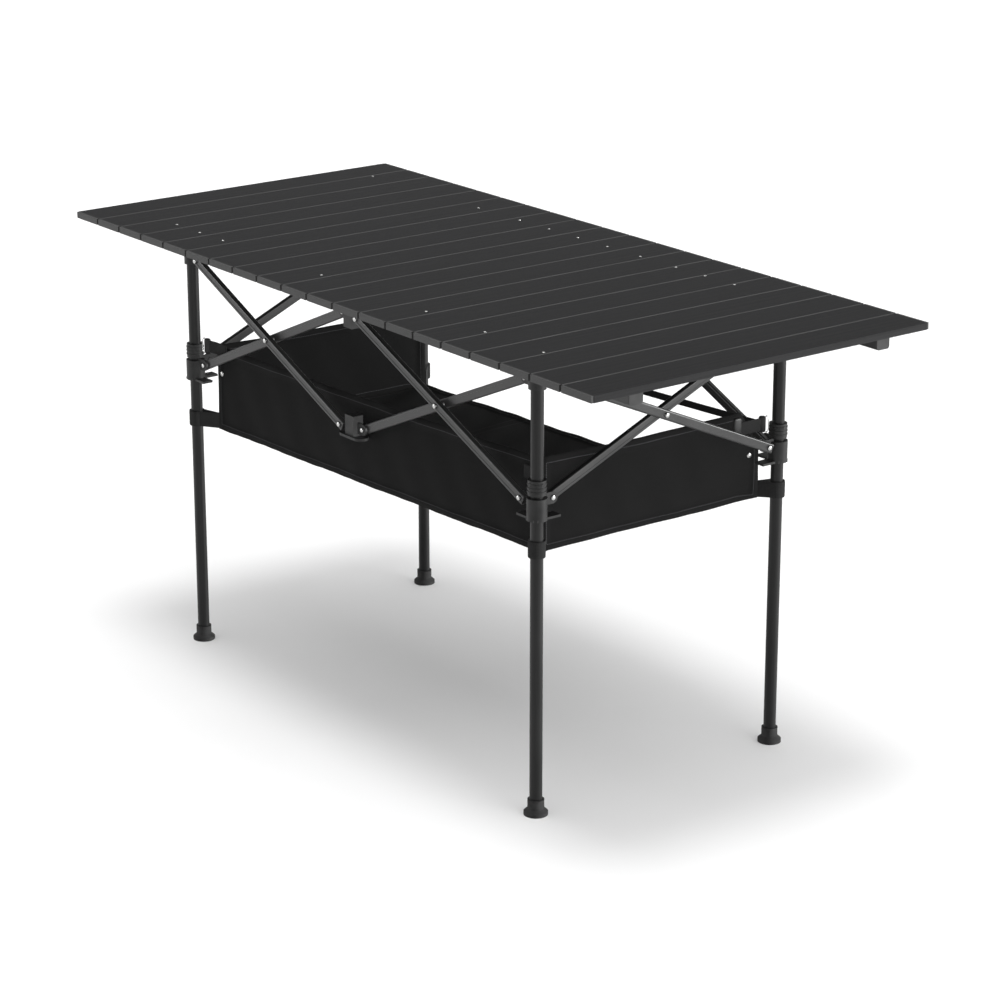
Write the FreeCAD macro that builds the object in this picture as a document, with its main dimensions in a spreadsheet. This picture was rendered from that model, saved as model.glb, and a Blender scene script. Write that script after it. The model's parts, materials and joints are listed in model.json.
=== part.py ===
import FreeCAD, Part
import math
import os

import Sketcher

from FreeCAD import Placement, Rotation, Vector

# Camp kitchen table: a roll-top of hollow slats on two rails, standing on a folding scissor frame of four
# legs, with a fabric basket slung between the sliders.
# Frame: origin on the floor at the table's centre, X along the table's length, Y to its open (rear) side,
# Z up. All lengths are in millimetres.

doc = FreeCAD.newDocument("camp_kitchen_table")
sheet = doc.addObject("Spreadsheet::Sheet", "Dims")

DIMENSIONS = {
    # tabletop
    "table_length": 1350,
    "table_width": 620,
    "table_height": 700,
    "slat_count": 20,
    "slat_gap": 1,
    "slat_thickness": 10,
    "slat_wall": 1.3,
    "slat_cells": 3,
    "cap_thickness": 4,
    "cap_gap": 3.5,
    # rails under the slats
    "rail_width": 24,
    "rail_height": 18,
    "rail_wall": 1.6,
    "rail_corner": 4,
    "rail_inset": 8,
    "plug_thickness": 3,
    # legs and feet
    "leg_x": 452,
    "leg_y": 227.5,
    "leg_radius": 9.5,
    "leg_wall": 1.2,
    "leg_base": 6,
    "leg_top": 668,
    "socket_radius": 9.6,
    "foot_radius": 18,
    "foot_rim": 5,
    "foot_cup": 12.4,
    "foot_shoulder": 10,
    "foot_height": 24,
    # scissor braces and their pivots
    "top_pin": 655,
    "low_pin": 480,
    "pin_reach": 27,
    "hub_reach": 24,
    "brace_depth": 15,
    "brace_thick": 9,
    "brace_wall": 1.3,
    "brace_corner": 2.5,
    "brace_lane": 6.5,
    "brace_end": 8,
    "groove_width": 5,
    "groove_depth": 0.5,
    "pin_radius": 2.4,
    "hole_radius": 2.48,
    "head_radius": 4,
    "head_height": 1.7,
    "head_gap": 0.3,
    "washer_radius": 6,
    "washer_gap": 0.3,
    # brackets on the legs
    "ear_thick": 3,
    "ear_radius": 9,
    "sleeve_radius": 15,
    "sleeve_bore": 9.56,
    "sleeve_low": 28,
    "sleeve_high": 5,
    "wing_thick": 3.5,
    "wing_half": 9,
    "wing_back": 13,
    "cap_radius": 13,
    "cap_low": 10,
    "collar_radius": 13.5,
    "collar_low": 489.5,
    "collar_height": 22.5,
    "collar_rib": 2,
    "collar_rib_rise": 0.8,
    "rivet_radius": 2.6,
    "rivet_rise": 1.2,
    # hubs between the two scissors of a long side
    "hub_half": 11,
    "hub_depth": 9,
    "hub_low": 12.5,
    "hub_high": 19,
    "hub_wing": 17,
    "hub_wing_radius": 12.5,
    "hub_wing_thick": 4,
    # basket
    "basket_left": -412,
    "basket_right": 436,
    "basket_front": -209,
    "basket_rear": 203,
    "basket_floor": 384,
    "basket_lean": 12,
    "basket_height": 141,
    "basket_wall": 1.6,
    "hem_low": 110,
    "hem_height": 11,
    "strap_height": 25,
    "strap_thick": 1.6,
    "loop_radius": 13,
    "loop_bore": 10.4,
}

for row, (alias, number) in enumerate(DIMENSIONS.items(), start=1):
    sheet.set("A%d" % row, alias)
    sheet.set("B%d" % row, str(number))
    sheet.setAlias("B%d" % row, alias)
doc.recompute()

# Edges this close in height count as level
LEVEL = 0.01

nodes = []


def dim(alias):
    """The value of one sheet cell."""
    return float(sheet.get(alias))


def cell(formula):
    """A formula of plain aliases, with each alias pointed at the sheet."""
    words = formula.split(" ")
    return " ".join("Dims." + word if word in DIMENSIONS else word for word in words)


def bind(thing, prop, formula):
    thing.setExpression(prop, cell(formula))


def keep(thing, label, placement=None):
    """Registers a finished sub-part under its own label and puts it in its place."""
    thing.Label = label
    if placement is not None:
        thing.Placement = placement
    nodes.append(thing)
    return thing


# ---------------------------------------------------------------- sketches and PartDesign features


def origin_plane(body, role):
    return next(f for f in body.Origin.OriginFeatures if f.Role == role)


def new_sketch(body, role, offset=None):
    sketch = body.newObject("Sketcher::SketchObject", "Sketch")
    sketch.AttachmentSupport = [(origin_plane(body, role), "")]
    sketch.MapMode = "FlatFace"
    if offset:
        bind(sketch, "AttachmentOffset.Base.z", offset)
    return sketch


def constrain(sketch, kind, args, formula):
    """Adds one dimension and binds it to the sheet."""
    number = sketch.addConstraint(Sketcher.Constraint(kind, *args))
    bind(sketch, "Constraints[%d]" % number, formula)


def add_circle(sketch, radius, x="0"):
    """A circle bound to the sheet, on the sketch's own X axis."""
    start = evaluate(radius)
    centre = Vector(evaluate(x), 0, 0)
    circle = sketch.addGeometry(Part.Circle(centre, Vector(0, 0, 1), start), False)
    constrain(sketch, "Radius", (circle, start), radius)
    constrain(sketch, "DistanceX", (-1, 1, circle, 3, centre.x), x)
    constrain(sketch, "DistanceY", (-1, 1, circle, 3, 0), "0")


def add_rectangle(sketch, x0, y0, x1, y1):
    """A rectangle whose four sides are bound to formulas measured from the sketch origin."""
    left, low, right, high = (evaluate(f) for f in (x0, y0, x1, y1))
    corners = [Vector(left, low, 0), Vector(right, low, 0), Vector(right, high, 0), Vector(left, high, 0)]
    lines = [Part.LineSegment(corners[i], corners[(i + 1) % 4]) for i in range(4)]
    sides = [sketch.addGeometry(line, False) for line in lines]
    for i in range(4):
        sketch.addConstraint(Sketcher.Constraint("Coincident", sides[i], 2, sides[(i + 1) % 4], 1))
    for i in range(4):
        sketch.addConstraint(Sketcher.Constraint("Horizontal" if i % 2 == 0 else "Vertical", sides[i]))
    constrain(sketch, "DistanceX", (-1, 1, sides[0], 1, left), x0)
    constrain(sketch, "DistanceY", (-1, 1, sides[0], 1, low), y0)
    constrain(sketch, "DistanceX", (-1, 1, sides[2], 1, right), x1)
    constrain(sketch, "DistanceY", (-1, 1, sides[2], 1, high), y1)


def evaluate(formula):
    """The value of a formula of sheet aliases."""
    return float(sheet.evalExpression(cell(formula)))


def pad(body, sketch, length):
    feature = body.newObject("PartDesign::Pad", "Pad")
    feature.Profile = sketch
    bind(feature, "Length", length)
    body.Tip = feature
    return feature


def pocket_both_ways(body, sketch, length):
    """Cuts a profile to the given depth on both sides of its plane."""
    feature = body.newObject("PartDesign::Pocket", "Pocket")
    feature.Profile = sketch
    feature.Midplane = True
    bind(feature, "Length", length)
    body.Tip = feature
    return feature


def round_edges(body, base, radius, wanted):
    """Rounds the edges of a feature for which wanted(edge) is true."""
    doc.recompute()
    names = ["Edge%d" % (i + 1) for i, edge in enumerate(base.Shape.Edges) if wanted(edge)]
    feature = body.newObject("PartDesign::Fillet", "Fillet")
    feature.Base = (base, names)
    bind(feature, "Radius", radius)
    body.Tip = feature
    return feature


# ---------------------------------------------------------------- Part primitives


def box(x0, y0, z0, x1, y1, z1):
    solid = doc.addObject("Part::Box", "Box")
    bind(solid, "Length", "( %s ) - ( %s )" % (x1, x0))
    bind(solid, "Width", "( %s ) - ( %s )" % (y1, y0))
    bind(solid, "Height", "( %s ) - ( %s )" % (z1, z0))
    for axis, formula in zip("xyz", (x0, y0, z0)):
        bind(solid, "Placement.Base.%s" % axis, formula)
    return solid


AXES = {
    "x": Rotation(Vector(0, 1, 0), 90),
    "y": Rotation(Vector(1, 0, 0), -90),
    "z": Rotation(),
}


def cylinder(radius, axis, x, y, z, length):
    """A cylinder from a base point along +X, +Y or +Z."""
    solid = doc.addObject("Part::Cylinder", "Cylinder")
    bind(solid, "Radius", radius)
    bind(solid, "Height", length)
    solid.Placement = Placement(Vector(), AXES[axis])
    for letter, formula in zip("xyz", (x, y, z)):
        bind(solid, "Placement.Base.%s" % letter, formula)
    return solid


def cone(low_radius, high_radius, z, height):
    solid = doc.addObject("Part::Cone", "Cone")
    bind(solid, "Radius1", low_radius)
    bind(solid, "Radius2", high_radius)
    bind(solid, "Height", height)
    bind(solid, "Placement.Base.z", z)
    return solid


def fuse(solids):
    joined = doc.addObject("Part::MultiFuse", "Fusion")
    joined.Shapes = solids
    return joined


def cut(base, tool):
    result = doc.addObject("Part::Cut", "Cut")
    result.Base = base
    result.Tool = tool
    return result


# ---------------------------------------------------------------- places

# The corners in order round the table. Side number i runs from corner i to corner i + 1 and is seen from
# outside, left to right; its own frame is turned by 90 degrees times i.
CORNERS = ["front_left", "front_right", "rear_right", "rear_left"]
SIDES = ["front", "right", "rear", "left"]
CORNER_SIGNS = [(-1, -1), (1, -1), (1, 1), (-1, 1)]


def corner_place(number, height):
    """The place of a bracket on leg number, whose two ears point along the two sides."""
    sign_x, sign_y = CORNER_SIGNS[number]
    spot = Vector(sign_x * dim("leg_x"), sign_y * dim("leg_y"), height)
    return Placement(spot, Rotation(Vector(0, 0, 1), 90 * number))


def side_place(number, along, height, tilt=0.0):
    """A place on a side, a distance along it from its left leg, turned downwards by tilt degrees."""
    return corner_place(number, height) * Placement(Vector(along, 0, 0), Rotation(Vector(0, 1, 0), tilt))


BAY = "( 2 * ( leg_y - pin_reach ) )"
DROP = "( top_pin - low_pin )"
BRACE_LENGTH = "sqrt( %s ^ 2 + %s ^ 2 )" % (BAY, DROP)

# ---------------------------------------------------------------- tabletop


def make_slat(number):
    """One hollow extruded slat along Y with a plastic cap closing each end."""
    body = doc.addObject("PartDesign::Body", "Slat")
    half = "( table_length / slat_count - slat_gap ) / 2"
    width = "( 2 * ( %s ) )" % half
    profile = new_sketch(body, "XZ_Plane", "- ( table_width / 2 - cap_thickness )")
    add_rectangle(profile, "- %s" % half, "0", half, "slat_thickness")
    pitch = "( %s - slat_wall ) / slat_cells" % width
    for i in range(int(dim("slat_cells"))):
        start = "- %s + slat_wall + %d * %s" % (half, i, pitch)
        end = "- %s + %d * %s" % (half, i + 1, pitch)
        add_rectangle(profile, start, "slat_wall", end, "slat_thickness - slat_wall")
    pad(body, profile, "table_width - 2 * cap_thickness")
    cap_half = "( table_length / slat_count - cap_gap ) / 2"
    for offset in ("- table_width / 2", "table_width / 2 - cap_thickness"):
        cap = new_sketch(body, "XZ_Plane", offset)
        add_rectangle(cap, "- %s" % cap_half, "0", cap_half, "slat_thickness")
        pad(body, cap, "cap_thickness")
    pitch = dim("table_length") / dim("slat_count")
    middle = -dim("table_length") / 2 + pitch * (number - 0.5)
    spot = Vector(middle, 0, dim("table_height") - dim("slat_thickness"))
    keep(body, "slat_%02d" % number, Placement(spot, Rotation()))


def make_rail(label, sign):
    """A hollow rail along X with rounded lower corners."""
    body = doc.addObject("PartDesign::Body", "Rail")
    profile = new_sketch(body, "YZ_Plane", "- table_length / 2 + rail_inset + plug_thickness")
    add_rectangle(profile, "- rail_width / 2", "- rail_height", "rail_width / 2", "0")
    inner = [
        "- rail_width / 2 + rail_wall",
        "- rail_height + rail_wall",
        "rail_width / 2 - rail_wall",
        "- rail_wall",
    ]
    tube = pad(body, profile, "table_length - 2 * ( rail_inset + plug_thickness )")

    def is_lower(edge):
        along = edge.BoundBox.XLength > 1
        return along and edge.BoundBox.ZMax < -dim("rail_height") + LEVEL

    round_edges(body, tube, "rail_corner", is_lower)
    hollow = new_sketch(body, "YZ_Plane")
    add_rectangle(hollow, *inner)
    pocket_both_ways(body, hollow, "table_length")
    spot = Vector(0, sign * dim("leg_y"), dim("table_height") - dim("slat_thickness"))
    keep(body, label, Placement(spot, Rotation()))


def make_rail_plugs():
    """The four plastic plugs that close the ends of the two rails."""
    plates = []
    for y in ("- leg_y", "leg_y"):
        for x in ("- table_length / 2 + rail_inset", "table_length / 2 - rail_inset - plug_thickness"):
            low = "table_height - slat_thickness - rail_height"
            high = "table_height - slat_thickness"
            front = "%s - rail_width / 2" % y
            rear = "%s + rail_width / 2" % y
            plate = box(x, front, low, x + " + plug_thickness", rear, high)
            doc.recompute()
            rounded = doc.addObject("Part::Fillet", "Fillet")
            rounded.Base = plate
            floor = plate.Shape.BoundBox.ZMin + LEVEL
            edges = [
                i + 1
                for i, edge in enumerate(plate.Shape.Edges)
                if edge.BoundBox.ZMax < floor and edge.BoundBox.YLength < LEVEL
            ]
            rounded.Edges = [(i, dim("rail_corner"), dim("rail_corner")) for i in edges]
            plates.append(rounded)
    group = doc.addObject("Part::Compound", "Plugs")
    group.Links = plates
    keep(group, "rail_end_plugs")


# ---------------------------------------------------------------- legs and what is fixed to them


def make_leg(number):
    body = doc.addObject("PartDesign::Body", "Leg")
    profile = new_sketch(body, "XY_Plane")
    add_circle(profile, "leg_radius")
    add_circle(profile, "leg_radius - leg_wall")
    pad(body, profile, "leg_top - leg_base")
    keep(body, "leg_" + CORNERS[number], corner_place(number, dim("leg_base")))


def make_foot(number):
    """A rubber foot: a round rim under a cup that the leg stands in."""
    rim = cylinder("foot_radius", "z", "0", "0", "0", "foot_rim")
    shoulder = cone("foot_radius", "foot_cup", "foot_rim", "foot_shoulder - foot_rim")
    cup = cylinder("foot_cup", "z", "0", "0", "foot_shoulder", "foot_height - foot_shoulder")
    socket = cylinder("socket_radius", "z", "0", "0", "leg_base", "foot_height")
    keep(cut(fuse([rim, shoulder, cup]), socket), "foot_" + CORNERS[number], corner_place(number, 0))


def ear(axis):
    """A flat ear from the bracket's middle out to the pivot, along +X or +Y."""
    half = "ear_thick / 2"
    if axis == "x":
        web = box("leg_radius", "- %s" % half, "- ear_radius", "pin_reach", half, "ear_radius")
        eye = cylinder("ear_radius", "y", "pin_reach", "- %s" % half, "0", "ear_thick")
    else:
        web = box("- %s" % half, "leg_radius", "- ear_radius", half, "pin_reach", "ear_radius")
        eye = cylinder("ear_radius", "x", "- %s" % half, "pin_reach", "0", "ear_thick")
    return [web, eye]


SHANK = "brace_lane + brace_thick / 2 + head_gap"


def rivet(axis, x, y, lane):
    """A pivot rivet on an ear: its shank crosses the brace lane on one side and has a head at each end.

    lane is 1 or -1, the side of the ear that the brace runs on, along the rivet's axis.
    """
    length = SHANK + " + head_height"
    tail = "ear_thick / 2 + head_height"
    if lane > 0:
        start, shank = "- ( %s )" % tail, "%s + %s" % (tail, length)
        heads = ["- ( %s )" % tail, SHANK]
    else:
        start, shank = "- ( %s )" % length, "%s + %s" % (tail, length)
        heads = ["- ( %s )" % length, "ear_thick / 2"]
    if axis == "y":
        parts = [cylinder("pin_radius", "y", x, start, "0", shank)]
        parts += [cylinder("head_radius", "y", x, spot, "0", "head_height") for spot in heads]
    else:
        parts = [cylinder("pin_radius", "x", start, y, "0", shank)]
        parts += [cylinder("head_radius", "x", spot, y, "0", "head_height") for spot in heads]
    return parts


def wings(low):
    """The two flat wings of a bracket, one over or under each ear."""
    high = low + " + wing_thick"
    reach = "pin_reach + ear_radius"
    return [
        box("- wing_back", "- wing_half", low, reach, "wing_half", high),
        box("- wing_half", "- wing_back", low, "wing_half", reach, high),
    ]


def make_top_bracket(number):
    """The cap on a leg's top: the rail rests on it, and two braces hang from its ears."""
    low = "- cap_low"
    seat = "table_height - slat_thickness - rail_height - top_pin"
    barrel = cylinder("cap_radius", "z", "0", "0", low, "%s + cap_low" % seat)
    solids = [barrel] + ear("x") + ear("y") + wings("%s - wing_thick" % seat)
    solids += rivet("y", "pin_reach", "0", -1)
    solids += rivet("x", "0", "pin_reach", 1)
    socket = cylinder("socket_radius", "z", "0", "0", low, "leg_top - top_pin + cap_low")
    place = corner_place(number, dim("top_pin"))
    keep(cut(fuse(solids), socket), "top_bracket_" + CORNERS[number], place)


def make_slider(number):
    """The sleeve that slides on a leg, with the lower pivots of two braces on its ears."""
    low = "- sleeve_low"
    barrel = cylinder("sleeve_radius", "z", "0", "0", low, "sleeve_low + sleeve_high")
    solids = [barrel] + ear("x") + ear("y") + wings(low)
    solids += rivet("y", "pin_reach", "0", 1)
    solids += rivet("x", "0", "pin_reach", -1)
    bore = cylinder("sleeve_bore", "z", "0", "0", "- 2 * sleeve_low", "4 * sleeve_low")
    place = corner_place(number, dim("low_pin"))
    keep(cut(fuse(solids), bore), "slider_" + CORNERS[number], place)


def make_lock_collar(number):
    """The collar fixed on a leg that a raised slider snaps up against, ribbed for a thumb's grip."""
    barrel = cylinder("collar_radius", "z", "0", "0", "0", "collar_height")
    solids = [barrel]
    for i in range(3):
        height = "collar_height * %d / 4 - collar_rib / 2" % (i + 1)
        solids.append(cylinder("collar_radius + collar_rib_rise", "z", "0", "0", height, "collar_rib"))
    reach = "collar_radius + rivet_rise"
    middle = "collar_height * 3 / 4"
    solids.append(cylinder("rivet_radius", "x", "- ( %s )" % reach, "0", middle, reach))
    solids.append(cylinder("rivet_radius", "y", "0", "- ( %s )" % reach, middle, reach))
    bore = cylinder("socket_radius", "z", "0", "0", "- collar_height", "3 * collar_height")
    place = corner_place(number, dim("collar_low"))
    keep(cut(fuse(solids), bore), "lock_collar_" + CORNERS[number], place)


# ---------------------------------------------------------------- scissor braces and hubs


def make_brace(label, side, along, falls):
    """A flat-oval brace with a shallow groove along each face and a rivet hole at each end.

    A falling brace runs in the outer lane and carries the rivet of the scissor's crossing; a rising brace
    runs in the inner lane and has a hole there.
    """
    body = doc.addObject("PartDesign::Body", "Brace")
    lane = "( - brace_lane )" if falls else "brace_lane"
    half_thick = "brace_thick / 2"
    half_depth = "brace_depth / 2"
    profile = new_sketch(body, "YZ_Plane", "- brace_end")
    add_rectangle(
        profile, lane + " - " + half_thick, "- " + half_depth, lane + " + " + half_thick, half_depth
    )
    tube = pad(body, profile, "%s + 2 * brace_end" % BRACE_LENGTH)

    def is_long(edge):
        return edge.BoundBox.XLength > 1

    round_edges(body, tube, "brace_corner", is_long)
    hollow = new_sketch(body, "YZ_Plane")
    wall = " brace_wall"
    add_rectangle(
        hollow,
        lane + " - " + half_thick + " +" + wall,
        "- " + half_depth + " +" + wall,
        lane + " + " + half_thick + " -" + wall,
        half_depth + " -" + wall,
    )
    for face in (lane + " - " + half_thick, lane + " + " + half_thick):
        low = "- groove_width / 2"
        add_rectangle(hollow, face + " - groove_depth", low, face + " + groove_depth", "groove_width / 2")
    pocket_both_ways(body, hollow, "4 * %s" % BRACE_LENGTH)
    holes = new_sketch(body, "XZ_Plane")
    add_circle(holes, "hole_radius")
    add_circle(holes, "hole_radius", BRACE_LENGTH)
    if not falls:
        add_circle(holes, "hole_radius", BRACE_LENGTH + " / 2")
    pocket_both_ways(body, holes, "4 * brace_lane")
    if falls:
        outer = "brace_lane + brace_thick / 2 + head_height"
        inner = "brace_lane + brace_thick / 2 + head_gap + head_height"
        between = "brace_lane - brace_thick / 2"
        middle = BRACE_LENGTH + " / 2"
        discs = [
            ("pin_radius", "- ( %s )" % inner, outer + " + " + inner),
            ("head_radius", "brace_lane + brace_thick / 2 - brace_wall", "brace_wall + head_height"),
            ("head_radius", "- ( %s )" % inner, "head_height"),
            ("washer_radius", "washer_gap - ( %s )" % between, "2 * ( %s ) - washer_gap" % between),
        ]
        for radius, start, length in discs:
            round_sketch = new_sketch(body, "XZ_Plane", start)
            add_circle(round_sketch, radius, middle)
            pad(body, round_sketch, length)
    angle = math.degrees(math.atan2(evaluate(DROP), evaluate(BAY)))
    if falls:
        keep(body, label, side_place(side, along, dim("top_pin"), angle))
    else:
        keep(body, label, side_place(side, along, dim("low_pin"), -angle))


def make_hub(label, side, upper):
    """The block in the middle of a long side that joins its two scissors; the upper one is upside down."""
    block = box("- hub_half", "- hub_depth", "- hub_low", "hub_half", "hub_depth", "hub_high")
    solids = [block]
    half = "ear_thick / 2"
    solids.append(box("- hub_reach", "- %s" % half, "- ear_radius", "hub_reach", half, "ear_radius"))
    for reach in ("- hub_reach", "hub_reach"):
        solids.append(cylinder("ear_radius", "y", reach, "- %s" % half, "0", "ear_thick"))
    under = "- hub_low - hub_wing_thick"
    for spot in ("- hub_wing", "hub_wing"):
        solids.append(cylinder("hub_wing_radius", "z", spot, "0", under, "hub_wing_thick"))
    solids.append(
        box("- hub_wing", "- hub_wing_radius", under, "hub_wing", "hub_wing_radius", "- hub_low")
    )
    solids += rivet("y", "- hub_reach", "0", -1)
    solids += rivet("y", "hub_reach", "0", 1)
    height = dim("top_pin") if upper else dim("low_pin")
    place = side_place(side, dim("leg_x"), height, 180.0 if upper else 0.0)
    keep(fuse(solids), label, place)


# ---------------------------------------------------------------- basket


def lean(x):
    """How far the basket's floor is above its middle height at x: its right end hangs higher."""
    return dim("basket_lean") * x / dim("leg_x")


def make_basket():
    """The fabric basket: a floor, a front panel and two end panels, open at the top and at the rear.

    Webbing loops at its lower corners go round the legs, and a webbing hem ties the two end panels at
    the rear.
    """
    wall = dim("basket_wall")
    left, right = dim("basket_left"), dim("basket_right")
    front, rear = dim("basket_front"), dim("basket_rear")
    floor, height = dim("basket_floor"), dim("basket_height")

    def upright(x0, x1, low, high, y0, y1):
        """A plate between two x and two y whose lower and upper edges follow the basket's lean."""
        outline = [
            Vector(x0, y0, floor + low + lean(x0)),
            Vector(x1, y0, floor + low + lean(x1)),
            Vector(x1, y0, floor + high + lean(x1)),
            Vector(x0, y0, floor + high + lean(x0)),
        ]
        face = Part.Face(Part.makePolygon(outline + outline[:1]))
        return face.extrude(Vector(0, y1 - y0, 0))

    solids = [
        upright(left, right, 0, wall, front, rear),
        upright(left, right, 0, height, front, front + wall),
        upright(left, left + wall, 0, height, front, rear),
        upright(right - wall, right, 0, height, front, rear),
    ]
    hem = dim("hem_low")
    solids.append(upright(left, right, hem, hem + dim("hem_height"), rear - wall, rear))
    thick = dim("strap_thick")
    tall = dim("strap_height")
    for sign_x, sign_y in CORNER_SIGNS:
        leg = Vector(sign_x * dim("leg_x"), sign_y * dim("leg_y"), 0)
        x = left if sign_x < 0 else right
        y = front if sign_y < 0 else rear
        low = Vector(0, 0, floor + lean(x))
        ring = Part.makeCylinder(dim("loop_radius"), tall, leg + low)
        ring = ring.cut(Part.makeCylinder(dim("loop_bore"), tall, leg + low))
        corner = Vector(x - sign_x * wall / 2, y - sign_y * wall / 2, 0)
        run = leg - corner
        run.multiply(1 - dim("loop_bore") / run.Length)
        side = Vector(-run.y, run.x, 0)
        side.multiply(thick / 2 / run.Length)
        outline = [corner - side, corner + side, corner + side + run, corner - side + run]
        tab = Part.Face(Part.makePolygon([p + low for p in outline + outline[:1]]))
        solids += [ring, tab.extrude(Vector(0, 0, tall))]
    whole = solids[0].multiFuse(solids[1:])
    basket = doc.addObject("Part::Feature", "Basket")
    basket.Shape = whole.removeSplitter()
    keep(basket, "basket")


# ---------------------------------------------------------------- the whole table

for slat in range(1, int(dim("slat_count")) + 1):
    make_slat(slat)
make_rail("rail_front", -1)
make_rail("rail_rear", 1)
make_rail_plugs()
for corner in range(4):
    make_leg(corner)
    make_foot(corner)
    make_top_bracket(corner)
    make_lock_collar(corner)
    make_slider(corner)

near_bay = dim("pin_reach")
far_bay = dim("leg_x") + dim("hub_reach")
for side in (0, 2):
    name = SIDES[side]
    make_brace("brace_%s_1" % name, side, near_bay, True)
    make_brace("brace_%s_2" % name, side, near_bay, False)
    make_brace("brace_%s_3" % name, side, far_bay, True)
    make_brace("brace_%s_4" % name, side, far_bay, False)
    make_hub("hub_%s_low" % name, side, False)
    make_hub("hub_%s_top" % name, side, True)
for side in (1, 3):
    name = SIDES[side]
    make_brace("brace_%s_1" % name, side, near_bay, True)
    make_brace("brace_%s_2" % name, side, near_bay, False)
make_basket()

doc.recompute()
for thing in doc.Objects:
    if "Invalid" in thing.State or "Error" in thing.State:
        raise RuntimeError("failed object: %s %s" % (thing.Name, thing.State))
for node in nodes:
    if node.Shape.isNull() or not node.Shape.isValid():
        raise RuntimeError("bad shape: " + node.Label)

os.makedirs("parts", exist_ok=True)
for node in nodes:
    node.Shape.exportStep(os.path.join("parts", node.Label + ".step"))
print("%d nodes written" % len(nodes))
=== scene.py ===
import json
import math

import bmesh
import bpy
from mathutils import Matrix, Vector


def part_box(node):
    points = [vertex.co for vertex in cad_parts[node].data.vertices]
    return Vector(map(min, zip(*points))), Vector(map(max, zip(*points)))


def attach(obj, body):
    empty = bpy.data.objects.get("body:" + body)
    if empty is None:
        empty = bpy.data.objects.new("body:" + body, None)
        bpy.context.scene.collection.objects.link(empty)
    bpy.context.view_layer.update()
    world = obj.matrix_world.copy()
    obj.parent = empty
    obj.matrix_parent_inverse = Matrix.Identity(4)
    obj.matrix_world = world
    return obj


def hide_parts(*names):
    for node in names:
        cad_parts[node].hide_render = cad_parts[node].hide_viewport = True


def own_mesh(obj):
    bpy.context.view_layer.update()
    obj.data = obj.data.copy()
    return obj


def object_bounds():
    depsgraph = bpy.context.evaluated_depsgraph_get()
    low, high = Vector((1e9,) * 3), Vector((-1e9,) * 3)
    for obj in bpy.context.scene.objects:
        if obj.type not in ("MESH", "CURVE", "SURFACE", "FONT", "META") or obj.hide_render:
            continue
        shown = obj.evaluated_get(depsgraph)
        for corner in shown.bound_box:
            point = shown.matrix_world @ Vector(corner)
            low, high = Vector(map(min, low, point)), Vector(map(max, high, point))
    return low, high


# The camp kitchen table, in metres: +X along the table, +Y to the rear, +Z up.

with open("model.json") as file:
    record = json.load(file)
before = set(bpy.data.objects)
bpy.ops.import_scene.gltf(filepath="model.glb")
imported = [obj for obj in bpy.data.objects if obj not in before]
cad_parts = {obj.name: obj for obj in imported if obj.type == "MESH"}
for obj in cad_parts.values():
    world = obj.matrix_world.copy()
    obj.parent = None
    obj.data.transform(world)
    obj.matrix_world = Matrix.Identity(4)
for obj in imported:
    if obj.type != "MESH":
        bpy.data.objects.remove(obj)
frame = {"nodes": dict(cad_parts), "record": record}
cad_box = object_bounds()

SIDES = ["front", "right", "rear", "left"]
CORNERS = ["front_left", "front_right", "rear_right", "rear_left"]

# The basket's panels, measured from the leg axes.
INSET_LEFT = 0.040
INSET_RIGHT = 0.016
INSET_FRONT = 0.0185
INSET_REAR = 0.0245
BASKET_HEIGHT = 0.141
BASKET_FLOOR = 0.384
BASKET_LEAN = 0.012
HEM = 0.012
CLOTH = 0.0016
HEM_CLOTH = 0.0030
WEBBING = 0.0018
STITCH_PITCH = 0.0034
STITCH_INSET = 0.0025

# The end panels' upper rear corner: the length of its cut and the share of the height that it takes off.
CUT_LENGTH = 0.038
CUT_SHARE = 0.42

# Cloth meshes: the spacing of their columns and rows, and the step that finds a surface's direction.
GRID_ALONG = 0.009
GRID_UP = 0.008
STEP = 0.0005

# Radius and rise of each kind of domed head.
SLAT_RIVET = (0.0022, 0.0011)
PIVOT_HEAD = (0.0037, 0.0012)
BUTTON = (0.0042, 0.0018)

# The slats, and the half widths of the painted highlight along each seam and of the painted shade between the
# end caps there.
SLATS = 20
CAP = 0.004
SEAM_HIGHLIGHT_HALF = 0.0018
GAP_SHADE_HALF = 0.0024

# Places of the slat rivets along the table, in slats from its left end. The rear row is a little farther out.
FRONT_RIVETS = [2.65, 3.67, 4.69, 8.8, 12.8, 14.9, 16.9]
REAR_RIVETS = [1.1, 5.6, 7.25, 8.4, 9.5, 10.6, 11.8, 13.07, 14.07, 15.07]
REAR_ROW = 0.004


# ---------------------------------------------------------------- materials


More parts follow.
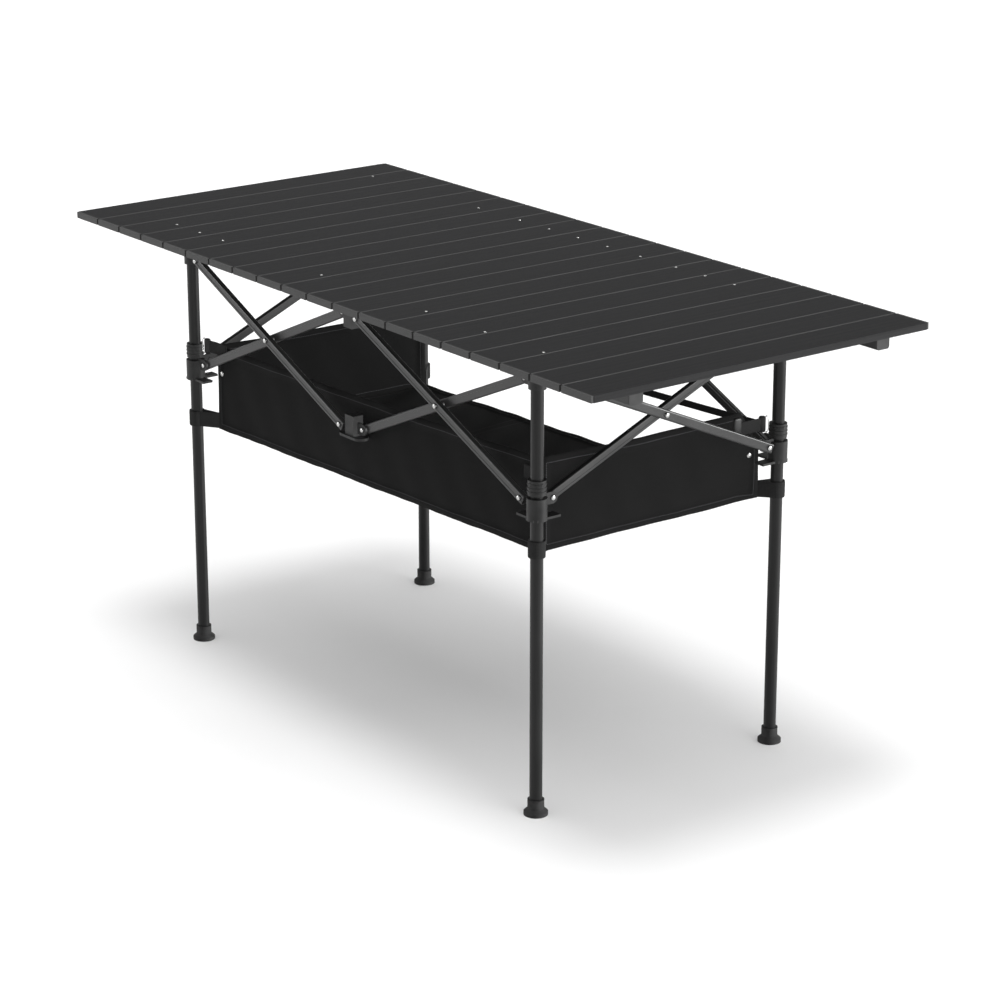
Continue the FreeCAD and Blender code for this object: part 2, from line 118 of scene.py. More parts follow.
class Shader:
    """A Principled material with short names for the nodes that this script needs."""

    def __init__(self, name, roughness, metallic=0.0, specular=0.5, sheen=0.0):
        self.material = bpy.data.materials.new(name)
        self.material.use_nodes = True
        self.tree = self.material.node_tree
        self.shader = self.tree.nodes["Principled BSDF"]
        self.set("Roughness", roughness)
        self.set("Metallic", metallic)
        self.set("Specular IOR Level", specular)
        self.set("Sheen Weight", sheen)

    def set(self, socket, value):
        self.shader.inputs[socket].default_value = value

    def link(self, output, node_input):
        self.tree.links.new(output, node_input)

    def node(self, kind, **settings):
        made = self.tree.nodes.new("ShaderNode" + kind)
        for key, value in settings.items():
            setattr(made, key, value)
        return made

    def coords(self, scale=(1, 1, 1), uv=None):
        """Object coordinates, or a UV map's, times scale."""
        if uv:
            source = self.node("UVMap", uv_map=uv).outputs["UV"]
        else:
            source = self.node("TexCoord").outputs["Object"]
        mapping = self.node("Mapping")
        mapping.inputs["Scale"].default_value = scale
        self.link(source, mapping.inputs["Vector"])
        return mapping.outputs["Vector"]

    def noise(self, scale, detail=3.0):
        """Noise between 0 and 1 with scale cells per metre along each axis."""
        made = self.node("TexNoise")
        made.inputs["Scale"].default_value = 1.0
        made.inputs["Detail"].default_value = detail
        self.link(self.coords(scale), made.inputs["Vector"])
        return made.outputs["Fac"]

    def math(self, operation, first, second=None, third=None):
        made = self.node("Math", operation=operation)
        for socket, value in zip(made.inputs, (first, second, third)):
            if value is None:
                continue
            if isinstance(value, (int, float)):
                socket.default_value = value
            else:
                self.link(value, socket)
        return made.outputs[0]

    def ramp(self, factor, *stops):
        """A colour ramp; each stop is (position, grey) or (position, (r, g, b))."""
        made = self.node("ValToRGB")
        elements = made.color_ramp.elements
        while len(elements) < len(stops):
            elements.new(0.5)
        for element, (position, tone) in zip(elements, stops):
            element.position = position
            red, green, blue = tone if isinstance(tone, tuple) else (tone, tone, tone)
            element.color = (red, green, blue, 1)
        self.link(factor, made.inputs["Fac"])
        return made.outputs["Color"]

    def mix(self, factor, first, second):
        """The colour first where factor is 0 and second where it is 1."""
        made = self.node("Mix", data_type="RGBA")
        self.link(factor, made.inputs["Factor"])
        for socket, value in ((made.inputs[6], first), (made.inputs[7], second)):
            if isinstance(value, tuple):
                socket.default_value = value
            else:
                self.link(value, socket)
        return made.outputs[2]

    def range(self, factor, low, high):
        made = self.node("MapRange")
        made.inputs["To Min"].default_value = low
        made.inputs["To Max"].default_value = high
        self.link(factor, made.inputs["Value"])
        return made.outputs["Result"]

    def colour(self, output):
        self.link(output, self.shader.inputs["Base Color"])

    def rough(self, output):
        self.link(output, self.shader.inputs["Roughness"])

    def bump(self, height, depth, strength=1.0):
        """Adds a bump of the given depth in metres on top of the bumps so far."""
        made = self.node("Bump")
        made.inputs["Strength"].default_value = strength
        made.inputs["Distance"].default_value = depth
        self.link(height, made.inputs["Height"])
        normal = self.shader.inputs["Normal"]
        if normal.is_linked:
            self.link(normal.links[0].from_socket, made.inputs["Normal"])
        self.link(made.outputs["Normal"], normal)


def slat_material(pitch, half_length, cap_from):
    """Black anodised aluminium brushed along Y, with a painted highlight along the seams, and grey plastic
    end caps painted near black in the shade between them.
    """
    made = Shader("slat_anodised", 0.42, specular=0.14)
    brush = made.noise((1500, 9, 1500), 2.0)
    wide = made.noise((240, 3, 240), 2.0)
    both = made.math("MULTIPLY_ADD", wide, 0.5, made.math("MULTIPLY", brush, 0.5))
    face = made.ramp(both, (0.30, (0.004, 0.004, 0.0043)), (0.72, (0.013, 0.013, 0.0138)))
    place = made.node("SeparateXYZ")
    made.link(made.node("TexCoord").outputs["Object"], place.inputs[0])
    turn = made.math("MULTIPLY_ADD", place.outputs["X"], 1 / pitch, half_length / pitch)
    seam = made.math("PINGPONG", turn, 0.5)
    inside = made.math("LESS_THAN", made.math("ABSOLUTE", place.outputs["X"]), half_length - pitch / 2)
    # Painted highlight: the faces are painted paler in a thin line along each seam, where the slats' rounded
    # edges catch the light.
    edge = made.math("MULTIPLY", inside, made.math("LESS_THAN", seam, SEAM_HIGHLIGHT_HALF / pitch))
    painted_seam_highlight = made.ramp(brush, (0.3, 0.028), (0.7, 0.075))
    face = made.mix(edge, face, painted_seam_highlight)
    cap = made.math("GREATER_THAN", made.math("ABSOLUTE", place.outputs["Y"]), cap_from)
    grain = made.noise((900, 900, 900))
    plastic = made.ramp(grain, (0.3, 0.036), (0.7, 0.060))
    # Painted shade: the end caps are painted near black either side of each seam, where the space between
    # them lies in shade.
    gap_shade = made.math("MULTIPLY", inside, made.math("LESS_THAN", seam, GAP_SHADE_HALF / pitch))
    plastic = made.mix(gap_shade, plastic, (0.001, 0.001, 0.001, 1))
    made.colour(made.mix(cap, face, plastic))
    made.rough(made.range(wide, 0.34, 0.50))
    made.bump(brush, 0.00006, 0.5)
    made.bump(grain, 0.00003, 0.3)
    return made.material


def metal_material(name, dark, light, stretch, roughness, specular):
    """Anodised tube with draw lines along the axis whose stretch is small."""
    made = Shader(name, roughness, specular=specular)
    lines = made.noise(stretch, 2.0)
    cloud = made.noise((14, 14, 14))
    tone = made.math("MULTIPLY_ADD", cloud, 0.5, made.math("MULTIPLY", lines, 0.5))
    made.colour(made.ramp(tone, (0.3, dark), (0.7, light)))
    made.rough(made.range(cloud, roughness - 0.06, roughness + 0.08))
    made.bump(lines, 0.00003, 0.4)
    return made.material


def plastic_material(name, dark, light, roughness):
    """Moulded plastic with a fine spark-eroded grain."""
    made = Shader(name, roughness, specular=0.25)
    grain = made.noise((1400, 1400, 1400), 2.0)
    cloud = made.noise((45, 45, 45))
    made.colour(made.ramp(cloud, (0.3, dark), (0.7, light)))
    made.rough(made.range(cloud, roughness - 0.06, roughness + 0.10))
    made.bump(grain, 0.00006, 0.5)
    return made.material


def rubber_material():
    """Matt black rubber with a little dust."""
    made = Shader("foot_rubber", 0.8, specular=0.3)
    grain = made.noise((700, 700, 700))
    dust = made.noise((60, 60, 60))
    made.colour(made.ramp(dust, (0.35, 0.016), (0.75, 0.034)))
    made.rough(made.range(dust, 0.7, 0.92))
    made.bump(grain, 0.0001, 0.6)
    return made.material


def rivet_material():
    """Plain steel with fine scratches."""
    made = Shader("rivet_steel", 0.3, metallic=1.0)
    scratches = made.noise((900, 900, 900))
    made.colour(made.ramp(scratches, (0.3, (0.36, 0.36, 0.355)), (0.7, (0.58, 0.58, 0.57))))
    made.rough(made.range(scratches, 0.24, 0.42))
    made.bump(scratches, 0.00002, 0.4)
    return made.material


def cloth_material(name, dark, light, pitch, stitched):
    """Woven cloth: warp and weft of the given pitch, and where stitched a row of stitches along the hem,
    painted lighter as a highlight.
    """
    made = Shader(name, 0.88, specular=0.10, sheen=0.015)
    threads = []
    for direction in ("X", "Y"):
        wave = made.node("TexWave", wave_type="BANDS", bands_direction=direction)
        wave.inputs["Scale"].default_value = math.pi / (10 * pitch)
        wave.inputs["Distortion"].default_value = 0.0
        made.link(made.coords(uv="run"), wave.inputs["Vector"])
        threads.append(wave.outputs["Fac"])
    weave = made.math("MULTIPLY", threads[0], threads[1])
    cloud = made.noise((22, 22, 22))
    fuzz = made.noise((800, 800, 800))
    coarse = made.math("MULTIPLY_ADD", fuzz, 0.3, made.math("MULTIPLY", cloud, 0.5))
    tone = made.math("MULTIPLY_ADD", weave, 0.35, coarse)
    face = made.ramp(tone, (0.25, dark), (0.8, light))
    if stitched:
        inside = made.node("SeparateXYZ")
        made.link(made.coords(uv="edge"), inside.inputs[0])
        nearest = made.math("MINIMUM", inside.outputs[0], inside.outputs[1])
        row = made.math("COMPARE", nearest, HEM - STITCH_INSET, 0.00045)
        run = made.node("SeparateXYZ")
        made.link(made.coords(uv="run"), run.inputs[0])
        along = made.math("ADD", run.outputs[0], run.outputs[1])
        sine = made.math("SINE", made.math("MULTIPLY", along, 2 * math.pi / STITCH_PITCH))
        dash = made.math("MULTIPLY", row, made.math("GREATER_THAN", sine, -0.4))
        # Painted highlight: the stitches are painted lighter than the cloth, though the thread is the same
        # black; the bump gives their real relief.
        face = made.mix(dash, face, (0.055, 0.055, 0.058, 1))
        made.bump(dash, 0.0005, 0.8)
    made.colour(face)
    made.rough(made.range(cloud, 0.80, 0.95))
    made.bump(weave, 0.00025, 0.7)
    return made.material


def floor_material():
    """A pale studio floor."""
    made = Shader("studio_floor", 0.9, specular=0.1)
    cloud = made.noise((3, 3, 3))
    made.colour(made.ramp(cloud, (0.3, 0.87), (0.7, 0.89)))
    return made.material


SLAT_PITCH = (cad_box[1][0] - cad_box[0][0]) / SLATS
FINISHES = {
    "slat_metal": slat_material(SLAT_PITCH, cad_box[1][0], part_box("slat_01")[1].y - CAP),
    "rail_metal": metal_material("rail_anodised", 0.010, 0.018, (6, 500, 500), 0.42, 0.35),
    "tube_metal": metal_material("tube_anodised", 0.006, 0.012, (420, 420, 8), 0.38, 0.24),
    "grey_plastic": plastic_material("grey_plastic", 0.020, 0.034, 0.52),
    "black_plastic": plastic_material("black_plastic", 0.010, 0.020, 0.46),
    "foot_rubber": rubber_material(),
    "basket_fabric": cloth_material("basket_cloth", 0.003, 0.008, 0.0014, True),
}
webbing = cloth_material("webbing", 0.012, 0.028, 0.0022, False)
# Painted light: the braces are the same anodised tube as the legs, but get a copy of its finish with a
# lighter colour, standing in for their brighter highlights, and more specular.
brace_metal_lit_copy = metal_material("brace_anodised_lit_copy", 0.010, 0.020, (300, 300, 300), 0.34, 0.45)
rivet_steel = rivet_material()

for part in frame["record"]["subparts"]:
    node = frame["nodes"][part["node"]]
    node.data.materials.clear()
    finish = brace_metal_lit_copy if part["node"].startswith("brace_") else FINISHES[part["material_slot"]]
    node.data.materials.append(finish)


# ---------------------------------------------------------------- mesh tools


def add_piece(name, bm, material, body):
    """Makes a piece from a bmesh, with its material and body."""
    bmesh.ops.recalc_face_normals(bm, faces=bm.faces)
    mesh = bpy.data.meshes.new(name)
    for face in bm.faces:
        face.smooth = True
    bm.to_mesh(mesh)
    bm.free()
    piece = bpy.data.objects.new(name, mesh)
    bpy.context.scene.collection.objects.link(piece)
    mesh.materials.append(material)
    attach(piece, body)
    return piece


def marks(length, hem, step):
    """Distances along an edge, close together where the hem ends."""
    bend = 0.0005
    found = [0.0, bend]
    if hem:
        found += [hem - bend, hem + bend]
    count = max(1, round((length - 2 * hem) / step))
    found += [hem + (length - 2 * hem) * i / count for i in range(1, count)]
    if hem:
        found += [length - hem - bend, length - hem + bend]
    return found + [length - bend, length]


def smooth_step(value):
    """A smooth rise from 0 to 1."""
    value = min(1.0, max(0.0, value))
    return value * value * (3 - 2 * value)


def add_cloth(bm, spot, columns, rows, thick):
    """Adds a closed sheet whose middle surface is spot(u, v), with UV maps for the run and the edges."""
    run = bm.loops.layers.uv.get("run") or bm.loops.layers.uv.new("run")
    edge = bm.loops.layers.uv.get("edge") or bm.loops.layers.uv.new("edge")
    width = columns[-1]
    height = rows[-1]
    places = {}
    layers = []
    for side in (0.5, -0.5):
        layer = []
        for u in columns:
            line = []
            for v in rows:
                along = spot(u + STEP, v) - spot(u - STEP, v)
                up = spot(u, v + STEP) - spot(u, v - STEP)
                normal = along.cross(up).normalized()
                vert = bm.verts.new(spot(u, v) + normal * side * thick(u, v))
                places[vert] = (u, v)
                line.append(vert)
            layer.append(line)
        layers.append(layer)
    faces = []
    top, under = layers
    last = len(columns) - 1
    end = len(rows) - 1
    for i in range(last):
        for j in range(end):
            faces.append([top[i][j], top[i + 1][j], top[i + 1][j + 1], top[i][j + 1]])
            faces.append([under[i][j + 1], under[i + 1][j + 1], under[i + 1][j], under[i][j]])
    for i in range(last):
        for j in (0, end):
            faces.append([top[i][j], top[i + 1][j], under[i + 1][j], under[i][j]])
    for j in range(end):
        for i in (0, last):
            faces.append([top[i][j], top[i][j + 1], under[i][j + 1], under[i][j]])
    for corners in faces:
        face = bm.faces.new(corners)
        for loop in face.loops:
            u, v = places[loop.vert]
            loop[run].uv = (u, v)
            loop[edge].uv = (min(u, width - u), min(v, height - v))


def add_dome(bm, centre, normal, radius, rise):
    """Adds a closed rivet head: a short collar, then a low dome."""
    normal = normal.normalized()
    side = normal.orthogonal().normalized()
    other = normal.cross(side)
    count = 20
    profile = [(0.0, 1.0), (0.25, 1.0), (0.55, 0.86), (0.8, 0.62), (0.95, 0.32)]
    rings = []
    for high, wide in profile:
        ring = []
        for i in range(count):
            angle = 2 * math.pi * i / count
            out = side * math.cos(angle) + other * math.sin(angle)
            ring.append(bm.verts.new(centre + out * radius * wide + normal * rise * high))
        rings.append(ring)
    for low, high in zip(rings, rings[1:]):
        for i in range(count):
            j = (i + 1) % count
            bm.faces.new([low[i], low[j], high[j], high[i]])
    tip = bm.verts.new(centre + normal * rise)
    for i in range(count):
        bm.faces.new([rings[-1][i], rings[-1][(i + 1) % count], tip])
    bm.faces.new(list(reversed(rings[0])))


# ---------------------------------------------------------------- rivets

body_of = {}
for body, members in frame["record"]["behaviour"]["bodies"].items():
    for member in members:
        body_of[member] = body

leg_low, leg_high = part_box("leg_front_left")
LEG_X = -(leg_low.x + leg_high.x) / 2
LEG_Y = -(leg_low.y + leg_high.y) / 2

rivets = {}
for row, row_y in ((FRONT_RIVETS, -LEG_Y), (REAR_RIVETS, LEG_Y + REAR_ROW)):
    for place in row:
        number = min(SLATS, int(place) + 1)
        spot = Vector((cad_box[0][0] + SLAT_PITCH * place, row_y, cad_box[1][2]))
        rivets.setdefault("slat_%02d" % number, []).append(spot)
for node_name, spots in rivets.items():
    bm = bmesh.new()
    for spot in spots:
        add_dome(bm, spot, Vector((0, 0, 1)), *SLAT_RIVET)
    add_piece("rivets_" + node_name, bm, rivet_steel, body_of[node_name])

# Pivot rivets: the outer head stands on the ear where the brace runs inside it, and on the brace where the
# brace runs outside it.
PIN_REACH = 0.027
HUB_REACH = 0.024
TOP_PIN = 0.655
LOW_PIN = 0.480
MIDDLE_PIN = (TOP_PIN + LOW_PIN) / 2
ON_EAR = 0.0032
ON_BRACE = 0.0130
NORMALS = {"front": (0, -1), "right": (1, 0), "rear": (0, 1), "left": (-1, 0)}


def side_spot(side, along, out, height):
    """A point on one side of the frame; along runs to the right as seen from outside."""
    x, y = NORMALS[side]
    reach = LEG_Y if x == 0 else LEG_X
    return Vector((-y * along + x * (reach + out), x * along + y * (reach + out), height))


def pivot_heads():
    """Yields (node, side, along, out, height) of each pivot rivet's outer head."""
    for index, side in enumerate(SIDES):
        half = LEG_X if side in ("front", "rear") else LEG_Y
        start = CORNERS[index]
        finish = CORNERS[(index + 1) % 4]
        near = half - PIN_REACH
        yield "top_bracket_" + start, side, -near, ON_BRACE, TOP_PIN
        yield "top_bracket_" + finish, side, near, ON_EAR, TOP_PIN
        yield "slider_" + start, side, -near, ON_EAR, LOW_PIN
        yield "slider_" + finish, side, near, ON_BRACE, LOW_PIN
        if side in ("front", "rear"):
            yield "hub_%s_low" % side, side, -HUB_REACH, ON_BRACE, LOW_PIN
            yield "hub_%s_low" % side, side, HUB_REACH, ON_EAR, LOW_PIN
            yield "hub_%s_top" % side, side, -HUB_REACH, ON_EAR, TOP_PIN
            yield "hub_%s_top" % side, side, HUB_REACH, ON_BRACE, TOP_PIN
            crossing = (near + HUB_REACH) / 2
            yield "brace_%s_1" % side, side, -crossing, ON_BRACE, MIDDLE_PIN
            yield "brace_%s_3" % side, side, crossing, ON_BRACE, MIDDLE_PIN
        else:
            yield "brace_%s_1" % side, side, 0.0, ON_BRACE, MIDDLE_PIN


heads = {}
for node_name, side, along, out, height in pivot_heads():
    x, y = NORMALS[side]
    heads.setdefault(node_name, []).append((side_spot(side, along, out, height), Vector((x, y, 0))))
for node_name, found in heads.items():
    bm = bmesh.new()
    for spot, normal in found:
        add_dome(bm, spot, normal, *PIVOT_HEAD)
    add_piece("pivots_" + node_name, bm, rivet_steel, body_of[node_name])


# ---------------------------------------------------------------- basket

LEFT = -LEG_X + INSET_LEFT
RIGHT = LEG_X - INSET_RIGHT
FRONT = -LEG_Y + INSET_FRONT
REAR = LEG_Y - INSET_REAR
LENGTH = RIGHT - LEFT
WIDTH = REAR - FRONT

# How far the panels' tops and the floor sag in the middle, and how far the panels stand out.
FRONT_SAG = 0.003
END_SAG = 0.004
FLOOR_SAG = 0.007
WEBBING_SAG = 0.006
FRONT_BULGE = 0.0035
END_BULGE = 0.004


def floor_height(x):
    """Height of the basket's floor, which hangs lower to the left."""
    return BASKET_FLOOR + BASKET_LEAN * x / LEG_X


def ripple(u, v, seed):
    """A small uneven wave, the same on every run."""
    wave = math.sin(u * 31 + seed) * math.sin(v * 23 + 1.7 * seed)
    return 0.0009 * wave + 0.0005 * math.sin(u * 77 + v * 41 + 2.3 * seed)


def hump(share):
    """0 at both ends of a panel and 1 in its middle."""
    return math.sin(math.pi * min(1, max(0, share)))


def bulge(u, v, width, height):
    """How far a panel stands out, from 0 at its edges to 1."""
    return hump(u / width) ** 0.5 * hump(v / height)


def hem_thickness(inside):
    """Thickness of the cloth at a distance inside its hemmed edge."""
    return HEM_CLOTH + (CLOTH - HEM_CLOTH) * smooth_step((inside - HEM + 0.0005) / 0.001)


def webbing_thickness(v, tall, thin):
    """Thickness of webbing at a height v, less by thin at its two edges."""
    return WEBBING - thin * (1 - smooth_step(min(v, tall - v) / 0.001))


def hemmed(width, height):
    """Thickness of a panel: doubled in the hems along its edges."""
    def thick(u, v):
        inside = min(u, width - u, v, height - v)
        round_edge = 0.45 + 0.55 * smooth_step(inside / 0.0005)
        return hem_thickness(inside) * round_edge
    return thick


def panel_front():
    """The front panel, with a slight sag along its top."""
    def spot(u, v):
        x = LEFT + u
        sag = FRONT_SAG * (v / BASKET_HEIGHT) * math.sin(math.pi * u / LENGTH)
        out = FRONT_BULGE * bulge(u, v, LENGTH, BASKET_HEIGHT) + ripple(u, v, 1.0)
        return Vector((x, FRONT - out, floor_height(x) + v - sag))
    bm = bmesh.new()
    columns = marks(LENGTH, HEM, GRID_ALONG)
    rows = marks(BASKET_HEIGHT, HEM, GRID_UP)
    add_cloth(bm, spot, columns, rows, hemmed(LENGTH, BASKET_HEIGHT))
    cloth = FINISHES["basket_fabric"]
    return add_piece("basket_front_panel", bm, cloth, "slider_front_left")


def panel_end(name, x, sign, body, seed):
    """An end panel; its upper rear corner is cut off along a slope."""
    low = floor_height(x)
    def spot(u, v):
        y = FRONT + u
        cut = min(1.0, max(0.0, (u - WIDTH + CUT_LENGTH) / CUT_LENGTH))
        rise = v * (1 - CUT_SHARE * cut)
        sag = END_SAG * (v / BASKET_HEIGHT) * math.sin(math.pi * u / WIDTH)
        out = END_BULGE * bulge(u, v, WIDTH, BASKET_HEIGHT) + ripple(u, v, seed)
        return Vector((x + sign * out, y, low + rise - sag))
    bm = bmesh.new()
    columns = marks(WIDTH, HEM, GRID_ALONG)
    rows = marks(BASKET_HEIGHT, HEM, GRID_UP)
    add_cloth(bm, spot, columns, rows, hemmed(WIDTH, BASKET_HEIGHT))
    return add_piece(name, bm, FINISHES["basket_fabric"], body)


def floor_strip(name, start, finish, body, seed):
    """A part of the basket's floor, with a soft sag in its middle."""
    width = finish - start
    def spot(u, v):
        x = start + u
        share = (x - LEFT) / LENGTH
        sag = FLOOR_SAG * math.sin(math.pi * share) * math.sin(math.pi * v / WIDTH)
        return Vector((x, FRONT + v, floor_height(x) + 0.001 - sag + ripple(u + start, v, seed)))
    def thick(u, v):
        return hem_thickness(min(v, WIDTH - v))
    bm = bmesh.new()
    add_cloth(bm, spot, marks(width, 0, GRID_ALONG), marks(WIDTH, HEM, GRID_ALONG), thick)
    return add_piece(name, bm, FINISHES["basket_fabric"], body)


front_panel = panel_front()
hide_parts("basket")
corner = (LEFT, FRONT, BASKET_FLOOR)
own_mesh(front_panel)

ENDS = [
    ("basket_left_panel", LEFT, -1, "slider_front_left", "slider_rear_left", 2.0),
    ("basket_right_panel", RIGHT, 1, "slider_front_right", "slider_rear_right", 3.0),
]
for name, x, sign, body, other, seed in ENDS:
    panel = panel_end(name, x, sign, body, seed)
    corner = (x, FRONT, BASKET_FLOOR)
    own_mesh(panel)

STRIPS = ["slider_front_left", "hub_front_low", "slider_front_right"]
for index, body in enumerate(STRIPS):
    start = LEFT + LENGTH * index / len(STRIPS)
    finish = LEFT + LENGTH * (index + 1) / len(STRIPS)
    strip = floor_strip("basket_floor_%d" % (index + 1), start, finish, body, 4.0)
    corner = (start, FRONT, BASKET_FLOOR)
    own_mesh(strip)

# The rear webbing: its lower edge above the floor, and its height.
REAR_LOW = 0.110
REAR_TALL = 0.011


def webbing_rear():
    """The webbing along the open rear side."""
    def spot(u, v):
        x = LEFT + u
        sag = WEBBING_SAG * math.sin(math.pi * u / LENGTH)
        y = REAR - 0.001 + 0.4 * ripple(u, v, 5.0)
        return Vector((x, y, floor_height(x) + REAR_LOW + v - sag))
    def thick(u, v):
        return webbing_thickness(v, REAR_TALL, 0.0008)
    bm = bmesh.new()
    add_cloth(bm, spot, marks(LENGTH, 0, 0.010), marks(REAR_TALL, 0, 0.0022), thick)
    return add_piece("basket_rear_webbing", bm, webbing, "slider_rear_left")


rear = webbing_rear()
corner = (LEFT, REAR, BASKET_FLOOR)
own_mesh(rear)


def along_path(points):
    """A function from the distance along a run of points to the point there, and the run's length."""
    steps = [(b - a).length for a, b in zip(points, points[1:])]
    def at(distance):
        left = distance
        for index, step in enumerate(steps):
            if left <= step or index == len(steps) - 1:
                return points[index].lerp(points[index + 1], left / step)
            left -= step
    return at, sum(steps)


def add_strap(name, points, low, tall, body):
    """A webbing strap whose edge stands upright along a run of points in plan."""
    at, length = along_path(points)
    def spot(u, v):
        return at(u) + Vector((0, 0, low + v))
    def thick(u, v):
        return webbing_thickness(v, tall, 0.0009)
    count = max(8, round(length / 0.0015))
    columns = [length * i / count for i in range(count + 1)]
    bm = bmesh.new()
    add_cloth(bm, spot, columns, marks(tall, 0, 0.003), thick)
    piece = add_piece(name, bm, webbing, body)


# The loops round the legs, the straps above them, and the knuckles and rings at the straps' ends.
LOOP = 0.0120
TAB = 0.025
STRAP_LOW = 0.500
STRAP_TALL = 0.020
COLLAR = 0.0143
KNUCKLE = (0.011, 0.025, 0.0065)
PATCH = (0.016, 0.029, 0.0060)
RING_TALL = 0.0125
RING_LONG = 0.0035
RING_WIRE = 0.0010


def leg_axis(corner):
    """The leg's axis in plan."""
    x = LEG_X if "right" in corner else -LEG_X
    y = LEG_Y if "rear" in corner else -LEG_Y
    return Vector((x, y, 0))


def basket_corner(corner):
    """The basket's corner in plan."""
    x = RIGHT if "right" in corner else LEFT
    y = REAR if "rear" in corner else FRONT
    return Vector((x, y, 0))


def lower_loop(corner):
    """The webbing loop round a leg, sewn to the basket's bottom corner."""
    leg = leg_axis(corner)
    to_corner = basket_corner(corner) - leg
    aim = to_corner.normalized()
    side = Vector((-aim.y, aim.x, 0))
    closing = math.radians(38)
    points = [leg + to_corner + side * 0.0013]
    for i in range(41):
        angle = closing + (2 * math.pi - 2 * closing) * i / 40
        points.append(leg + (aim * math.cos(angle) + side * math.sin(angle)) * LOOP)
    points.append(leg + to_corner - side * 0.0013)
    low = floor_height(basket_corner(corner).x) + 0.001
    add_strap("loop_" + corner, points, low, TAB, "slider_" + corner)


def add_knuckle(bm, centre, aim, length, tall, thick):
    """Adds a rounded sewn end: an upright closed rod of rounded section, length by thick."""
    side = Vector((-aim.y, aim.x, 0))
    rings = []
    rows = [(-0.5, 0.6), (-0.46, 0.86), (-0.38, 1.0), (0.38, 1.0), (0.46, 0.86), (0.5, 0.6)]
    count = 20
    for high, wide in rows:
        ring = []
        for i in range(count):
            angle = 2 * math.pi * i / count
            along = math.copysign(abs(math.cos(angle)) ** 0.6, math.cos(angle)) * length / 2
            across = math.copysign(abs(math.sin(angle)) ** 0.6, math.sin(angle)) * thick / 2
            spot = centre + (aim * along + side * across) * wide
            ring.append(bm.verts.new(spot + Vector((0, 0, high * tall))))
        rings.append(ring)
    for low, high in zip(rings, rings[1:]):
        for i in range(count):
            j = (i + 1) % count
            bm.faces.new([low[i], low[j], high[j], high[i]])
    bm.faces.new(list(reversed(rings[0])))
    bm.faces.new(rings[-1])


def add_ring(bm, centre, aim, half_tall, half_long, wire):
    """Adds an upright oval wire ring in the plane of aim and Z."""
    side = Vector((-aim.y, aim.x, 0))
    loops = []
    around = 32
    for i in range(around):
        angle = 2 * math.pi * i / around
        out = aim * math.cos(angle) * half_long + Vector((0, 0, math.sin(angle) * half_tall))
        outward = out.normalized()
        loop = []
        for j in range(10):
            turn = 2 * math.pi * j / 10
            off = (outward * math.cos(turn) + side * math.sin(turn)) * wire
            loop.append(bm.verts.new(centre + out + off))
        loops.append(loop)
    for i in range(around):
        for j in range(10):
            k = (j + 1) % 10
            ahead = loops[(i + 1) % around]
            bm.faces.new([loops[i][j], ahead[j], ahead[k], loops[i][k]])


def upper_strap(corner):
    """The strap from the panel's top corner to the ring on the lock collar."""
    leg = leg_axis(corner)
    hook = basket_corner(corner)
    aim = (hook - leg).normalized()
    outward = 1 if "right" in corner else -1
    ring_spot = leg + aim * (COLLAR + RING_LONG)
    end_spot = leg + aim * (COLLAR + 0.010)
    if "rear" in corner:
        start = Vector((hook.x + outward * 0.003, REAR - 0.050, 0))
        bend = Vector((hook.x + outward * 0.003, REAR - 0.006, 0))
    else:
        start = Vector((hook.x - outward * 0.032, hook.y - 0.004, 0))
        bend = Vector((hook.x - outward * 0.003, hook.y - 0.004, 0))
    points = [start, bend.lerp(start, 0.15), bend.lerp(end_spot, 0.3), end_spot]
    body = "slider_" + corner
    add_strap("strap_" + corner, points, STRAP_LOW, STRAP_TALL, body)
    middle = STRAP_LOW + STRAP_TALL / 2
    lift = Vector((0, 0, middle))
    bm = bmesh.new()
    add_knuckle(bm, end_spot + lift, aim, *KNUCKLE)
    if "rear" in corner:
        patch = Vector((hook.x + outward * 0.003, REAR - CUT_LENGTH - 0.008, middle + 0.004))
        add_knuckle(bm, patch, Vector((0, 1, 0)), *PATCH)
    add_piece("knuckle_" + corner, bm, FINISHES["black_plastic"], body)
    bm = bmesh.new()
    add_ring(bm, ring_spot + lift, aim, RING_TALL, RING_LONG, RING_WIRE)
    add_piece("ring_" + corner, bm, rivet_steel, body)


for corner in CORNERS:
    lower_loop(corner)
    upper_strap(corner)

# Snap buttons on the panels' outer faces: the corner, the place and the way that the face looks.
BUTTONS = [
    ("front_left", (LEFT + 0.014, FRONT - 0.0025, 0.469), (0, -1, 0)),
    ("rear_right", (RIGHT + 0.0030, REAR - 0.0205, 0.466), (1, 0, 0)),
    ("rear_left", (LEFT - 0.0030, REAR - 0.0205, 0.446), (-1, 0, 0)),
]
for corner, spot, normal in BUTTONS:
    bm = bmesh.new()
    add_dome(bm, Vector(spot), Vector(normal), *BUTTON)
    add_piece("button_" + corner, bm, rivet_steel, "slider_" + corner)


# ---------------------------------------------------------------- studio

FLOOR_HALF = 80
LENS = 113.3
CAMERA_PLACE = (3.77168, -2.81614, 1.87380)
CAMERA_PITCH = 18.304
CAMERA_YAW = 52.762


def add_floor():
    """A floor that reaches the horizon in every view."""
    bm = bmesh.new()
    bmesh.ops.create_grid(bm, x_segments=8, y_segments=8, size=FLOOR_HALF)
    bmesh.ops.translate(bm, verts=bm.verts, vec=(0, 0, cad_box[0][2]))
    mesh = bpy.data.meshes.new("studio_floor")
    bm.to_mesh(mesh)
    bm.free()
    ground = bpy.data.objects.new("studio_floor", mesh)
    bpy.context.scene.collection.objects.link(ground)
    mesh.materials.append(floor_material())


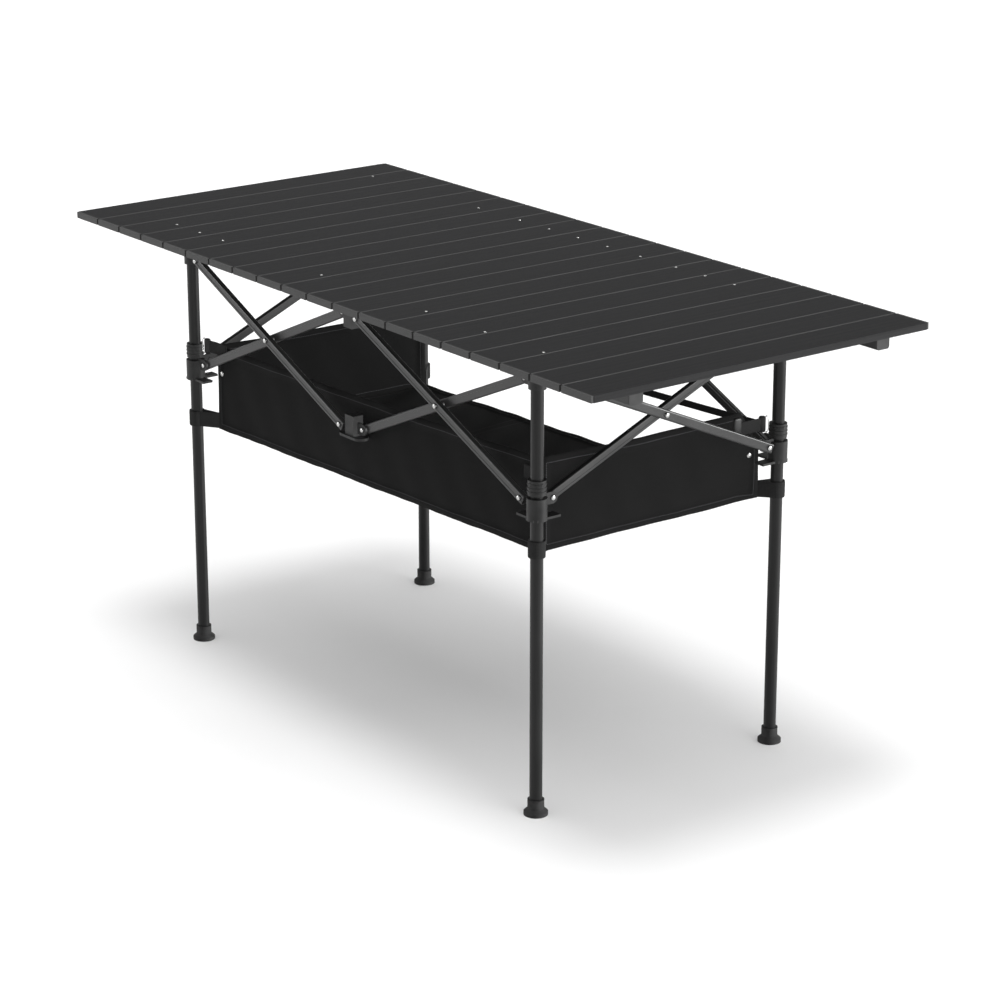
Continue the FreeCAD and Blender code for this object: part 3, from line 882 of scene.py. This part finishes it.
def add_sun(name, azimuth, elevation, strength, angle, shadow=True):
    """A soft distant light; its azimuth is 0 at the front and grows to the right."""
    light = bpy.data.lights.new(name, "SUN")
    light.energy = strength
    light.angle = math.radians(angle)
    light.use_shadow = shadow
    sun = bpy.data.objects.new(name, light)
    sun.rotation_euler = (math.radians(90 - elevation), 0, math.radians(azimuth))
    bpy.context.scene.collection.objects.link(sun)


def add_world():
    """A room that is bright overhead, dim at the sides and pale where the floor meets it."""
    world = bpy.data.worlds.new("studio")
    bpy.context.scene.world = world
    world.use_nodes = True
    tree = world.node_tree
    back = tree.nodes["Background"]
    place = tree.nodes.new("ShaderNodeTexCoord")
    split = tree.nodes.new("ShaderNodeSeparateXYZ")
    ramp = tree.nodes.new("ShaderNodeValToRGB")
    stops = [(0.075, 0.54), (0.13, 0.06), (0.55, 0.14), (1.0, 1.0)]
    while len(ramp.color_ramp.elements) < len(stops):
        ramp.color_ramp.elements.new(0.5)
    for element, (position, tone) in zip(ramp.color_ramp.elements, stops):
        element.position = position
        element.color = (tone, tone, tone, 1)
    tree.links.new(place.outputs["Generated"], split.inputs[0])
    tree.links.new(split.outputs["Z"], ramp.inputs["Fac"])
    tree.links.new(ramp.outputs["Color"], back.inputs["Color"])
    back.inputs["Strength"].default_value = 1.85


def add_camera():
    """The camera looks down at the table past its front right leg."""
    data = bpy.data.cameras.new("camera")
    data.sensor_width = 36
    data.lens = LENS
    data.clip_end = 200
    camera = bpy.data.objects.new("camera", data)
    camera.location = CAMERA_PLACE
    camera.rotation_euler = (math.radians(90 - CAMERA_PITCH), 0, math.radians(CAMERA_YAW))
    bpy.context.scene.collection.objects.link(camera)
    bpy.context.scene.camera = camera


add_floor()
add_world()
add_sun("overhead", 0, 87, 0.95, 16)
add_sun("key", 100, 48, 0.35, 30)
add_sun("strip_right", 134, 6, 4.2, 8, shadow=False)
add_sun("strip_left", 318, 8, 0.8, 10, shadow=False)
add_camera()
bpy.context.scene.view_settings.view_transform = "Standard"
